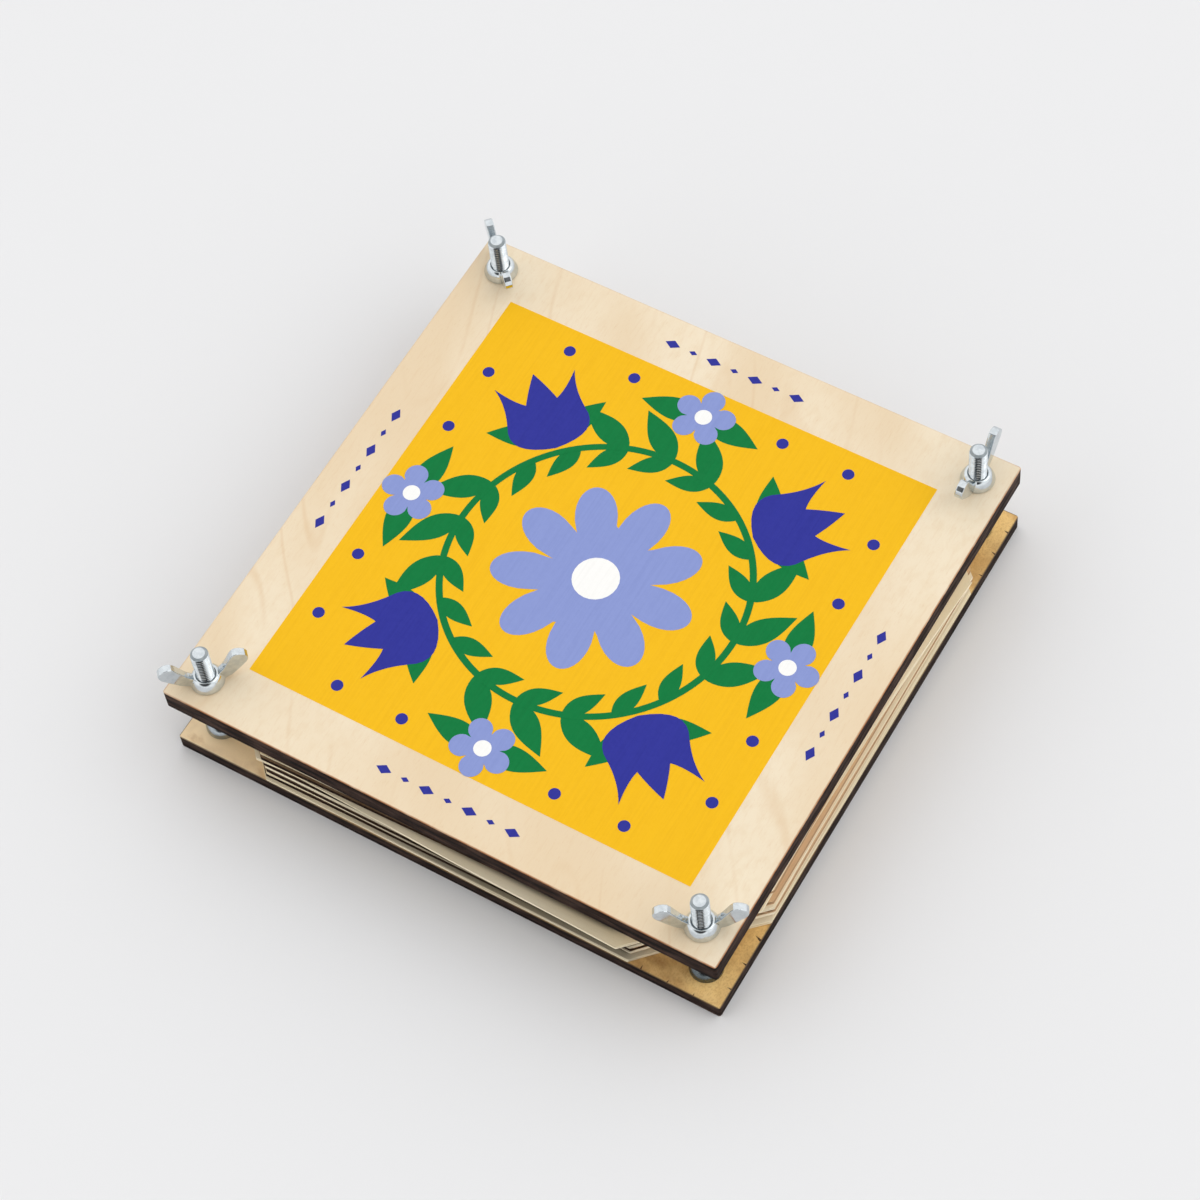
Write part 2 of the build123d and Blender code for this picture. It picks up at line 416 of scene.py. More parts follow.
def shape_tree(name, lengths, counts, objects=()):
    """A new Geometry Nodes tree with named inputs and a finish. Gives the tree and the inputs' identifiers."""
    tree = bpy.data.node_groups.new(name, "GeometryNodeTree")
    kinds = {"Geometry": "NodeSocketGeometry", "Finish": "NodeSocketMaterial"}
    kinds.update(dict.fromkeys(lengths, "NodeSocketFloat"))
    kinds.update(dict.fromkeys(counts, "NodeSocketInt"))
    kinds.update(dict.fromkeys(objects, "NodeSocketObject"))
    ids = {}
    for label, kind in kinds.items():
        ids[label] = tree.interface.new_socket(name=label, in_out="INPUT", socket_type=kind).identifier
    tree.interface.new_socket(name="Geometry", in_out="OUTPUT", socket_type="NodeSocketGeometry")
    return tree, ids


def end_tree(geometry, material):
    """Ends a tree: its instances made real, and its material set."""
    tree = geometry.id_data
    real = node(tree, "GeometryNodeRealizeInstances", {0: geometry}).outputs[0]
    dressed = node(tree, "GeometryNodeSetMaterial", {"Geometry": real, "Material": material}).outputs[0]
    node(tree, "NodeGroupOutput", {0: dressed})


def put_tree(piece, tree, ids, values):
    """Puts a Geometry Nodes tree on a piece, with these inputs."""
    modifier = piece.modifiers.new(tree.name, "NODES")
    modifier.node_group = tree
    for label, value in values.items():
        modifier[ids[label]] = value


def grow(piece, tree, ids, values):
    """Keeps the mesh that a Geometry Nodes tree makes on a piece."""
    put_tree(piece, tree, ids, values)
    settle(piece)
    dress(piece, values["Finish"])
    return piece


stamp_tree, stamp_ids = shape_tree("stamp_on_points", ["Sway", "Size Spread"], ["Seed"], ["Motif"])
tree = stamp_tree
given = node(tree, "NodeGroupInput").outputs
motif = node(tree, "GeometryNodeObjectInfo", {"Object": given["Motif"]}).outputs["Geometry"]
named = [node(tree, "GeometryNodeInputNamedAttribute", {"Name": name}) for name in ("turn", "size")]
turn, size = [attribute.outputs[0] for attribute in named]
sway = node(tree, "FunctionNodeRandomValue", {2: -1.0, 3: 1.0, "Seed": given["Seed"]}).outputs[1]
other_seed = calc("ADD", given["Seed"], 1.0)
swell = node(tree, "FunctionNodeRandomValue", {2: -1.0, 3: 1.0, "Seed": other_seed}).outputs[1]
angle = calc("MULTIPLY_ADD", sway, given["Sway"], turn)
grown = times(size, calc("MULTIPLY_ADD", swell, given["Size Spread"], 1.0))
facing = node(tree, "ShaderNodeCombineXYZ", {2: angle}).outputs[0]
wide = node(tree, "ShaderNodeCombineXYZ", {0: grown, 1: grown, 2: 1.0}).outputs[0]
stamps = {"Points": given["Geometry"], "Instance": motif, "Rotation": facing, "Scale": wide}
stamped = node(tree, "GeometryNodeInstanceOnPoints", stamps).outputs[0]
end_tree(stamped, given["Finish"])


def prism(outline, low, high):
    """Points and faces of a flat shape with a thickness, from its outline."""
    return stack_rings([[(x, y, z) for x, y in outline] for z in (low, high)])


def stamp(name, motif, spots, material, sway=0.0, spread=0.0, seed=0):
    """Repeats a motif at spots, each an X, Y, Z, a turn and a size."""
    mesh = bpy.data.meshes.new(name)
    mesh.from_pydata([spot[:3] for spot in spots], [], [])
    for i, key in ((3, "turn"), (4, "size")):
        mesh.attributes.new(key, "FLOAT", "POINT").data.foreach_set("value", [spot[i] for spot in spots])
    values = {"Motif": motif, "Finish": material, "Sway": sway, "Size Spread": spread, "Seed": seed}
    return grow(put(name, mesh), stamp_tree, stamp_ids, values)


burn_noise, burn_rough, burn_relief = ((0.6, 0.6, 0.6), 3.0), (0.85, 0.7), 0.02 * mm
burn_dark, burn_light = srgb(52, 32, 22), srgb(98, 62, 36)
burn_mark, shader, place = finish("burn_mark")
ash = cloud(place, *burn_noise)
burn = tint(across(ash), burn_dark, burn_light)
coat(shader, burn, across(ash, *burn_rough), ash, burn_relief)
sliver = [(tick_length * along, tick_width * aside) for along, aside in tick_shares]
tick_shape = piece_of("tick_shape", prism(sliver, -tick_depth, tick_depth))
tick_x = bottom_high[0] - board_rim_round
ticks_each_way = int((bottom_high[1] - 2 * board_corner_r) / tick_step)
tick_spots = []
for k in range(-ticks_each_way, ticks_each_way + 1):
    tick_spots.append((tick_x, k * tick_step, bottom_high[2], side_tick_turn, 1.0))
for k in range(1, front_tick_count + 1):
    tick_spots.append((tick_x - k * tick_step, -tick_x, bottom_high[2], front_tick_turn, front_tick_size))
ticks = stamp("burn_ticks", tick_shape, tick_spots, burn_mark, tick_sway, tick_size_spread, tick_seed)
clear_away(tick_shape)
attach(ticks, "base")

# Bolts: zinc-plated machine bolts that stand up through both boards, one in every corner.
# Each has a rolled thread along its shank, a cut end with a dull chamfer, and a countersunk head with a
# hexagon socket, flush underneath.
thread_pitch = 0.8 * mm
thread_depth = 0.42 * mm
thread_flats = (0.14, 0.86)
thread_rows = 12
tip_chamfer = 0.8 * mm
tip_tilt = 0.95
socket_flats = 3.0 * mm
socket_depth = 1.6 * mm
bolt_crease = 40.0
bloom_noise, bloom_show = ((1.6, 1.6, 1.6), 3.0), (0.35, 0.7)
scuff_noise, scuff_rough, scuff_relief = ((0.12, 0.5, 0.5), 2.0, 0.6), 0.05, 0.3
zinc_relief = 0.004 * mm


def zinc(name, bright, dull, rough, metallic=1.0, gloss=0.5):
    """Bright zinc plate: metal with faint cloudy patches and fine scuffs."""
    material, shader, place = finish(name, gloss, metallic)
    bloom = cloud(place, *bloom_noise)
    scuff = cloud(place, *scuff_noise)
    colour = stain(bright, dull, bloom, *bloom_show)
    roughness = calc("MULTIPLY_ADD", scuff, scuff_rough, across(bloom, *rough))
    coat(shader, colour, roughness, calc("MULTIPLY_ADD", scuff, scuff_relief, bloom), zinc_relief)
    return material


def hexagon_r(flats, angle):
    """How far a hexagon reaches from its middle at an angle."""
    return flats / 2 / math.cos((angle + math.pi / 6) % (math.pi / 3) - math.pi / 6)


def join_into(piece, *others):
    """Adds other pieces' meshes to a piece, and clears the others away."""
    work = bmesh.new()
    work.from_mesh(piece.data)
    for other in others:
        work.from_mesh(other.data)
        clear_away(other)
    work.to_mesh(piece.data)
    work.free()


thread_lengths = ["Radius", "Length", "Pitch", "Depth", "Chamfer"]
thread_tree, thread_ids = shape_tree("rolled_thread", thread_lengths, ["Sides", "Rows"])
tree = thread_tree
given = node(tree, "NodeGroupInput").outputs
rod = {"Vertices": given["Sides"], "Side Segments": given["Rows"], "Radius": given["Radius"], "Depth": given["Length"]}
rod = node(tree, "GeometryNodeMeshCylinder", rod, fill_type="NGON").outputs["Mesh"]
x, y, z = axes(node(tree, "GeometryNodeInputPosition").outputs[0])
around = calc("ARCTAN2", y, x)
full_turns = calc("DIVIDE", around, 2 * math.pi)
climb = calc("SUBTRACT", calc("DIVIDE", z, given["Pitch"]), full_turns)
flank = times(calc("PINGPONG", climb, 0.5), 2.0)
groove = {"Value": flank, "From Min": thread_flats[0], "From Max": thread_flats[1]}
groove = node(tree, "ShaderNodeMapRange", groove).outputs[0]
threaded = calc("SUBTRACT", given["Radius"], times(given["Depth"], groove))
from_tip = calc("SUBTRACT", calc("DIVIDE", given["Length"], 2.0), z)
short = calc("MAXIMUM", calc("SUBTRACT", given["Chamfer"], from_tip), 0.0)
radius = calc("MINIMUM", threaded, calc("SUBTRACT", given["Radius"], short))
spun = {0: times(radius, calc("COSINE", around)), 1: times(radius, calc("SINE", around)), 2: z}
spun = node(tree, "ShaderNodeCombineXYZ", spun).outputs[0]
turned = node(tree, "GeometryNodeSetPosition", {"Geometry": rod, "Position": spun}).outputs[0]
end_tree(turned, given["Finish"])

bolt_zinc = zinc("bolt_zinc", srgb(210, 216, 219), srgb(194, 201, 206), rough=(0.08, 0.15))
tip_zinc = zinc(
    "bolt_tip_zinc", srgb(162, 170, 174), srgb(140, 149, 154), rough=(0.40, 0.50), metallic=0.0, gloss=0.1
)
for corner in corner_names:
    spot = bolt_spots[corner]
    bolt_low, bolt_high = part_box(f"bolt_{corner}")
    shank_low = bolt_low[2] + bolt_head_rim + (bolt_head_r - bolt_r)
    shank_length = bolt_high[2] - shank_low
    shank = {
        "Radius": bolt_r,
        "Length": shank_length,
        "Pitch": thread_pitch,
        "Depth": thread_depth,
        "Chamfer": tip_chamfer,
        "Sides": bolt_sides,
        "Rows": int(shank_length / thread_pitch * thread_rows),
        "Finish": bolt_zinc,
    }
    blank = put(f"bolt_{corner}_steel", bpy.data.meshes.new(f"bolt_{corner}_steel"))
    bolt = grow(blank, thread_tree, thread_ids, shank)
    bolt.data.transform(Matrix.Translation((spot[0], spot[1], shank_low + shank_length / 2)))
    under = bolt_low[2]
    cone = [(bolt_head_r, under), (bolt_head_r, under + bolt_head_rim), (bolt_r, shank_low)]
    head = []
    for z in (under + socket_depth, under):
        head.append(ring_of(spot, lambda a: hexagon_r(socket_flats, a), z, bolt_sides))
    head += [ring_of(spot, lambda a: radius, z, bolt_sides) for radius, z in cone]
    join_into(bolt, piece_of("bolt_head", stack_rings(head)))
    bolt.data.materials.append(tip_zinc)
    for face in bolt.data.polygons:
        if face.center.z > bolt_high[2] - tip_chamfer and face.normal.z < tip_tilt:
            face.material_index = 1
    smooth(bolt.data, bolt_crease)
    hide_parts(f"bolt_{corner}")
    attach(bolt, "base")

# Lock nuts: round zinc-plated nuts with a domed shoulder, screwed down on the bottom board.
# They hold the bolts upright, and they show in the clipped corners of the stack. The front one wears a darker, duller
# zinc, whose darker colour is painted shade under the top board's front corner.
lock_r = 4.4 * mm
lock_dome_r = 2.6 * mm
lock_foot = 0.12 * mm
lock_bore_r = 2.5 * mm
lock_steps = 14
nut_sides = 64
lock_crease = 30.0
lock_zinc = zinc("lock_nut_zinc", srgb(164, 171, 175), srgb(146, 154, 160), rough=(0.14, 0.22))
# Painted shade: the front nut's zinc is darker, as it lies in the shade of the top board's front corner; it is also
# rougher.
shaded_front_lock_zinc = zinc("front_lock_nut_zinc_with_painted_shade", srgb(104, 111, 113), srgb(86, 93, 97), rough=(0.20, 0.28))
for corner in corner_names:
    low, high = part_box(f"lock_nut_{corner}")
    dome_centre = lock_r - lock_dome_r
    dome_end = math.acos((lock_bore_r - dome_centre) / lock_dome_r)
    dome_low = high[2] - lock_dome_r * math.sin(dome_end)
    profile = [(lock_bore_r, low[2]), (lock_r - lock_foot, low[2]), (lock_r, low[2] + lock_foot)]
    for step in range(lock_steps + 1):
        angle = dome_end * step / lock_steps
        profile.append((dome_centre + lock_dome_r * math.cos(angle), dome_low + lock_dome_r * math.sin(angle)))
    nut = piece_of(f"lock_nut_{corner}_steel", lathe(profile, bolt_spots[corner], nut_sides, hollow=True))
    dress(nut, shaded_front_lock_zinc if corner == "front" else lock_zinc)
    smooth(nut.data, lock_crease)
    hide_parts(f"lock_nut_{corner}")
    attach(nut, "base")

# Blotting papers: cream sheets of soft thick paper with clipped corners, laid in pairs between the cards.
# Each has cockled a little and its cut edges wander, so that thin shadows part one sheet from the next.
paper_count = 12
paper_sheet_t = 0.44 * mm
paper_cockle = 0.13 * mm
paper_stray = 0.16 * mm
sheet_step = 2.2 * mm
sheet_insets = [0.0, 0.4 * mm, 1.2 * mm, 2.4 * mm, 5.0 * mm, 18.0 * mm, 38.0 * mm]
sheet_reach = 79.3 * mm
sheet_crease = 50.0
front_trims = {"paper_3": 0.3 * mm, "paper_5": 0.1 * mm, "paper_6": 0.1 * mm}
left_trims = {"paper_7": 1.2 * mm, "paper_8": 0.6 * mm}
left_trim_share = 0.55
hollow_edges = {"paper_7": 0.9 * mm, "paper_8": 1.2 * mm, "paper_5": 0.35 * mm, "paper_3": 0.3 * mm}
right_edge, front_edge = 0, 6
node_body = {name: body for body, names in frame["record"]["behaviour"]["bodies"].items() for name in names}

# The waves of an edge: strength, waves along it, and their turn from edge to edge and from sheet to sheet.
# The waves of the cockle: strength, lengths along X and Y, and their turn from sheet to sheet.
edge_waves = [(1.0, 9.1, 1.7, 1.0), (0.6, 23.0, 1.0, 2.9)]
edge_sway, edge_ease = (0.5, 0.31), 8
cockle_waves = [(0.62, 9.3 * mm, 17.0 * mm, 2.4), (0.38, 13.1 * mm, -6.7 * mm, 4.1)]


def sheet_corners(solid):
    """The eight corners of a clipped sheet, counted from the right-hand side, as its solid in the frame has them."""
    spots = [vertex.co for vertex in frame["nodes"][solid].data.vertices]
    corners = []
    for k in range(8):
        angle = math.radians(22.5 + 45 * k)
        aim = Vector((math.cos(angle), math.sin(angle), 0))
        corners.append(max(spots, key=lambda spot: spot.dot(aim)).to_2d())
    return corners


def sheet_outline(corners, stray, phase, trims, hollow):
    """Points along a sheet's cut edges. All wander inwards by stray, the front by trims and the right by hollow."""
    even_trim, left_trim = trims
    outline = []
    for k in range(8):
        start, end = corners[k - 1], corners[k]
        steps = max(2, round((end - start).length / sheet_step))
        along = (end - start).normalized()
        inwards = Vector((-along.y, along.x))
        for i in range(steps):
            share = i / steps
            ease = min(1.0, edge_ease * share, edge_ease * (1 - share))
            sway = sum(s * math.sin(w * share + e * k + p * phase) for s, w, e, p in edge_waves)
            bow = stray * (edge_sway[0] + edge_sway[1] * sway) * ease
            if k == right_edge:
                bow += hollow * 4 * share * (1 - share)
            if k == front_edge:
                bow += (even_trim + left_trim * max(0.0, 1 - share / left_trim_share)) * ease
            outline.append(start + (end - start) * share + inwards * bow)
    return outline


def middle_of(corners):
    """The middle of a sheet."""
    return sum(corners, Vector((0, 0))) / len(corners)


def sheet_skin(corners, level, thickness, stray, phase, cockle=0.0, trims=(0.0, 0.0), hollow=0.0):
    """Points and faces of a cockled sheet with a thickness, at a height."""
    middle = middle_of(corners)
    outline = sheet_outline(corners, stray, phase, trims, hollow)
    sides = []
    for half in (thickness / 2, -thickness / 2):
        rings = []
        for inset in sheet_insets:
            ring = []
            for point in outline:
                x, y = middle + (point - middle) * (1 - inset / sheet_reach)
                wave = sum(s * math.sin(x / a + y / b + p * phase) for s, a, b, p in cockle_waves)
                ring.append((x, y, level + half + cockle * wave))
            rings.append(ring)
        sides.append(rings)
    top, bottom = sides
    return stack_rings(list(reversed(bottom)) + top)


# Painted shade: the papers' colour darkens behind the front-left rim of the top board, and where the wide upper papers
# overhang them.
pulp_noise, pulp_show, pulp_cream = ((0.35, 0.35, 0.35), 3.0), (0.55, 0.75, 0.18), srgb(216, 200, 166)
ageing_noise, ageing_show, aged_cream = ((14.0, 14.0, 3.0), 3.0), (0.5, 0.8, 0.35), srgb(229, 212, 176)
tone_noise, pale_cream, warm_cream = ((70.0, 70.0, 0.9), 1.0), srgb(252, 241, 214), srgb(244, 230, 197)
paper_gloss, paper_rough, paper_relief = 0.2, (0.86, 0.96), 0.03 * mm
painted_shade_brown = srgb(70, 56, 40)
shade_start = (-79.2 * mm, -77.2 * mm, 0.0, 0.85)
shade_end = (-72.0 * mm, -62.0 * mm, 1.0, 0.0)
shade_half_width = (54.0 * mm, 46.0 * mm)
overhang_start = (-79.85 * mm, -79.35 * mm, 0.0, 0.6)
overhang_z = (13.6 * mm, 13.4 * mm)
overhang_left, overhang_right = (-40.0 * mm, 5.0 * mm), (58.0 * mm, 52.0 * mm)
blotting_paper, shader, place = finish("blotting_paper", paper_gloss)
x, y, z = axes(place)
pulp = cloud(place, *pulp_noise)
cream = tint(across(cloud(place, *tone_noise)), pale_cream, warm_cream)
cream = stain(cream, aged_cream, cloud(place, *ageing_noise), *ageing_show)
cream = stain(cream, pulp_cream, pulp, *pulp_show)
# Painted shade under the top board's front-left rim, fading out further in.
fade = grade(y, *shade_end)
width = grade(calc("ABSOLUTE", x), *shade_half_width)
cream = tint(times(grade(y, *shade_start), fade, width), cream, painted_shade_brown)
# Painted shade on the lower papers where the wide upper papers overhang them.
width = times(grade(x, *overhang_left), grade(x, *overhang_right))
overhung = times(grade(y, *overhang_start), fade, width, grade(z, *overhang_z))
cream = tint(overhung, cream, painted_shade_brown)
coat(shader, cream, across(pulp, *paper_rough), pulp, paper_relief)
for k in range(1, paper_count + 1):
    solid = f"paper_{k}"
    low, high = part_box(solid)
    trims = (front_trims.get(solid, 0.0), left_trims.get(solid, 0.0))
    wandering = (paper_stray, float(k), paper_cockle, trims, hollow_edges.get(solid, 0.0))
    skin = sheet_skin(sheet_corners(solid), (low[2] + high[2]) / 2, paper_sheet_t, *wandering)
    sheet = piece_of(f"{solid}_sheet", skin)
    dress(sheet, blotting_paper)
    smooth(sheet.data, sheet_crease)
    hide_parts(solid)
    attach(sheet, node_body[solid])

# Corrugated cards: two kraft liners glued to a wavy sheet of paper, with its flutes running along Y.
# They let air into the stack. The open ends of the flutes show on the front-left side.
card_count = 5
card_stray = 0.12 * mm
card_phase = 3.0
liner_t = 0.2 * mm
flute_pitch = 3.28 * mm
flute_wall = 0.17 * mm
flute_points = 12
front_facing = -0.9
tuft_noise, tuft_show = ((0.25, 1.2, 0.25), 3.0, 0.5), (0.5, 0.75, 0.4)
blotch_noise = ((6.0, 11.0, 2.0), 3.0)
front_edge_darkening, front_edge_brown = (-77.6 * mm, -78.4 * mm, 0.75), srgb(58, 40, 28)
side_rim_show = (74.0 * mm, 76.5 * mm, 0.8)
card_gloss, card_rough, card_relief = 0.25, (0.78, 0.9), 0.03 * mm

flute_tree, flute_ids = shape_tree("wavy_sheet", ["Half Side", "Clip", "Pitch", "Height"], ["Points"])
tree = flute_tree
given = node(tree, "NodeGroupInput").outputs
full_side = times(given["Half Side"], 2.0)
strip = {"Size X": full_side, "Size Y": 2.0, "Vertices X": given["Points"], "Vertices Y": 2}
strip = node(tree, "GeometryNodeMeshGrid", strip).outputs["Mesh"]
x, y, z = axes(node(tree, "GeometryNodeInputPosition").outputs[0])
clipped = calc("SUBTRACT", calc("SUBTRACT", full_side, given["Clip"]), calc("ABSOLUTE", x))
length = calc("MINIMUM", given["Half Side"], clipped)
swing = calc("SINE", times(calc("DIVIDE", x, given["Pitch"]), 2 * math.pi))
height = times(swing, calc("DIVIDE", given["Height"], 2.0))
waved = node(tree, "ShaderNodeCombineXYZ", {0: x, 1: times(y, length), 2: height}).outputs[0]
fluted = node(tree, "GeometryNodeSetPosition", {"Geometry": strip, "Position": waved}).outputs[0]
end_tree(fluted, given["Finish"])


def brown_paper(name, light, dark, fleck, rim):
    """Unbleached brown paper with long flecks of fibre. It turns darker brown along the front edge, and takes the rim
    colour at the left and right sides, beside the flutes.
    """
    material, shader, place = finish(name, card_gloss)
    x, y, z = axes(place)
    tuft = cloud(place, *tuft_noise)
    blotch = cloud(place, *blotch_noise)
    brown = tint(across(blotch), light, dark)
    brown = stain(brown, fleck, tuft, *tuft_show)
    # Darker brown along the front cut edge, for Y below -77.6 mm.
    brown = stain(brown, front_edge_brown, y, *front_edge_darkening)
    brown = stain(brown, rim, calc("ABSOLUTE", x), *side_rim_show)
    coat(shader, brown, across(blotch, *card_rough), tuft, card_relief)
    return material


kraft = brown_paper("kraft_liner", srgb(224, 190, 150), srgb(200, 162, 122), srgb(150, 112, 76), srgb(222, 186, 146))
# The fluting's colour is partly its own darker brown and mostly painted shade for the hollows of the flutes; at the
# left and right sides it takes the lighter rim colour.
shaded_fluting = brown_paper("fluting_paper_and_painted_shade", srgb(84, 60, 40), srgb(62, 44, 30), srgb(44, 30, 20), srgb(212, 176, 136))
for k in range(1, card_count + 1):
    solid = f"card_{k}"
    low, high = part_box(solid)
    corners = sheet_corners(solid)
    levels = (low[2] + liner_t / 2, high[2] - liner_t / 2)
    liners = [sheet_skin(corners, level, liner_t, card_stray, card_phase * k) for level in levels]
    card = piece_of(f"{solid}_corrugated", together(liners))
    long_edge = corners[6] - corners[5]
    half_side = (corners[0] + corners[7] - corners[3] - corners[4]).length / 4 - card_stray
    core = {
        "Half Side": half_side,
        "Clip": half_side - long_edge.length / 2,
        "Pitch": flute_pitch,
        "Height": high[2] - low[2] - 2 * liner_t - flute_wall,
        "Points": int(2 * half_side / flute_pitch * flute_points) + 1,
        "Finish": shaded_fluting,
    }
    flutes = put("flutes", bpy.data.meshes.new("flutes"))
    put_tree(flutes, flute_tree, flute_ids, core)
    wall = flutes.modifiers.new("wall", "SOLIDIFY")
    wall.thickness, wall.offset = flute_wall, 0.0
    settle(flutes)
    turn = math.atan2(long_edge.y, long_edge.x)
    at = Vector((*middle_of(corners), (low[2] + high[2]) / 2))
    flutes.data.transform(Matrix.Translation(at) @ Matrix.Rotation(turn, 4, "Z"))
    dress(card, kraft, shaded_fluting)
    # The fluting's finish, with its painted shade, also goes on the liners' faces inside the flutes and on their front
    # cut edges.
    for face in card.data.polygons:
        inner_face = (at.z - face.center.z) * face.normal.z > liner_t / 2
        face.material_index = 1 if inner_face or face.normal.y < front_facing else 0
    for face in flutes.data.polygons:
        face.material_index = 1
    join_into(card, flutes)
    smooth(card.data, sheet_crease)
    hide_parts(solid)
    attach(card, node_body[solid])

# Top board: a thicker square of pale birch plywood that slides on the bolts and presses the stack.
# Its faces were masked from the smoke, so only the rims are singed; the laser charred its edges.
top_ply_count = 5
top_low, top_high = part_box("top_board")
top_wood = (srgb(242, 226, 198), srgb(233, 210, 175), srgb(212, 168, 112))
top_figure = (math.radians(-24), (0.4, 1.9, 0.0))
rim_singe, rim_brown = (0.50, 0.05), srgb(172, 104, 50)
patchy_noise, patchy_show = ((5.0, 5.0, 5.0), 2.0), (0.25, 0.6, 0.6, 1.0)
singed_front = (-14.0, 14.0, 0.25, 1.0)
top_rough, top_relief = (0.5, 1.0, 0.5, 0.62), 0.02 * mm
top_ember = srgb(76, 51, 39)
pale_face, shader, place = finish("pale_birch_face")
x, y, z = axes(place)
wood, fibres = birch(place, *top_wood, *top_figure)
singe = grade(rim_distance(place, top_high[0]), *rim_singe)
patchy = grade(cloud(place, *patchy_noise), *patchy_show)
frontwards = times(calc("SUBTRACT", x, y), per_mm)
singe = times(singe, patchy, grade(frontwards, *singed_front))
wood = tint(singe, wood, rim_brown)
coat(shader, wood, grade(fibres, *top_rough), fibres, top_relief)
top_edge = charred_edge("charred_top_edge", top_low[2], top_high[2], top_ply_count, edge_soot, top_ember)
top_hole = [(bolt_hole_r, top_low[2] - cut_overrun), (bolt_hole_r, top_high[2] + cut_overrun)]
top = board_mesh("top_board_ply", top_low, top_high, top_hole, pale_face, top_edge)
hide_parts("top_board")
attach(top, "lid")

# Print: a square of matt inks on the top board, a wreath of leaves with tulips in its corners round one large daisy,
# and a short row of lozenges in the margin of each side. The inks lie one on another as very thin layers.
print_half = 64.0 * mm
ink_t = 0.03 * mm
ink_bite = 0.005 * mm
ink_z = top_high[2]
ground_low, ground_high = ink_z - ink_bite, ink_z + ink_t
motif_low, motif_high = ground_high - ink_bite, ground_high + ink_t
heart_low, heart_high = motif_high - ink_bite, motif_high + ink_t
layer_t = motif_high - motif_low
grain_noise, blot_noise, blot_share = ((0.5, 16.0, 16.0), 3.0), ((1.1, 1.1, 1.1), 2.0), 0.4
grain_show = (0.5, 1.0, 0.5)
ink_gloss, ink_rough, ink_relief = 0.15, (0.58, 0.68), 0.012 * mm


def ink(name, colour, deeper):
    """A matt ink on wood: nearly even, with a trace of the grain below it."""
    material, shader, place = finish(name, ink_gloss)
    grain = cloud(place, *grain_noise)
    blot = cloud(place, *blot_noise)
    shown = stain(colour, deeper, calc("MULTIPLY_ADD", blot, blot_share, grain), *grain_show)
    coat(shader, shown, across(blot, *ink_rough), grain, ink_relief)
    return material


yellow_ink = ink("yellow_ink", srgb(247, 191, 22), srgb(238, 179, 18))
green_ink = ink("green_ink", srgb(0, 123, 61), srgb(0, 112, 54))
blue_ink = ink("dark_blue_ink", srgb(48, 52, 154), srgb(42, 46, 140))
periwinkle_ink = ink("periwinkle_ink", srgb(141, 155, 212), srgb(131, 145, 203))
white_ink = ink("white_ink", srgb(252, 251, 248), srgb(243, 242, 238))


def keep_ink(piece):
    """Fixes a layer of ink to the top board."""
    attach(piece, "lid")


def print_shape(name, shape, colour):
    """Prints one shape in one colour."""
    piece = piece_of(name, shape)
    dress(piece, colour)
    keep_ink(piece)


def print_motif(name, outline, spots, colour):
    """Prints a motif, given by its outline round the origin, at many spots in one colour."""
    motif = piece_of("motif", prism(outline, 0.0, layer_t))
    keep_ink(stamp(name, motif, spots, colour))
    clear_away(motif)


def leaf_outline(length, width, belly=0.8, steps=14):
    """A pointed leaf along X, from its stalk to its tip, broadest before its middle."""
    shares = [i / steps for i in range(steps + 1)]
    edge = [(length * s, width / 2 * math.sin(math.pi * s**belly)) for s in shares]
    return edge[:-1] + [(x, -y) for x, y in reversed(edge[1:])]


def lobed_outline(reach, lobes, waist_share, steps, fullness=0.6):
    """A flower with round petals, seen from above, or a round spot where it has no lobes."""
    outline = []
    for i in range(steps):
        angle = 2 * math.pi * i / steps
        petal = abs(math.cos(lobes * angle / 2)) ** fullness
        radius = reach * (waist_share + (1 - waist_share) * petal)
        outline.append((radius * math.cos(angle), radius * math.sin(angle)))
    return outline


def bent_line(arcs, steps=8):
    """Points along arcs that are each given by a start, a pull and an end."""
    line = []
    for (x0, y0), (x1, y1), (x2, y2) in arcs:
        for i in range(steps):
            s = i / steps
            a, b, c = (1 - s) ** 2, 2 * s * (1 - s), s * s
            line.append((a * x0 + b * x1 + c * x2, a * y0 + b * y1 + c * y2))
    return line


def tulip_outline(height, width):
    """A tulip that opens along X, with three tips."""
    tip = 1.06
    right = [
        ((0, 0), (0.06, 0.62), (0.44, 0.5)),
        ((0.44, 0.5), (0.74, 0.44), (0.98, 0.52)),
        ((0.98, 0.52), (0.74, 0.34), (0.66, 0.2)),
        ((0.66, 0.2), (0.86, 0.12), (tip, 0)),
    ]
    half = [(height * x, width * y) for x, y in bent_line(right)]
    return half + [(height * tip, 0)] + [(x, -y) for x, y in reversed(half[1:])]


def at_polar(radius, angle, z, turn, size=1.0):
    """A spot for a motif, at a distance and an angle from the middle of the board."""
    return (radius * math.cos(angle), radius * math.sin(angle), z, turn, size)


daisy_reach = 27.5 * mm
daisy_heart_r = 6.2 * mm
daisy_petals, daisy_waist, daisy_steps = 9, 0.46, 160
wreath_r = 40.0 * mm
wreath_band = 1.8 * mm
wreath_sides = 180
wreath_steps = 20
leaf_length = 17.5 * mm
leaf_width = 7.0 * mm
leaf_lean = math.radians(52)
inner_leaf_share = 0.7
tulip_at = 41.5 * mm
tulip_height = 23.0 * mm
tulip_width = 21.0 * mm
tulip_leaf_at = 45.0 * mm
tulip_leaf_lean = math.radians(68)
tulip_clear = math.radians(24)
side_flower_at = 55.5 * mm
side_flower_reach = 8.6 * mm
side_petals, side_waist, side_steps = 5, 0.5, 90
side_leaf_lean = math.radians(97)
side_heart_r = 2.3 * mm
heart_steps = 24
dot_r = 1.6 * mm
outer_dots_at = 71.0 * mm
outer_dots_apart = math.radians(9)
inner_dots_at = 62.0 * mm
inner_dots_apart = math.radians(24)
lozenge_length = 4.4 * mm
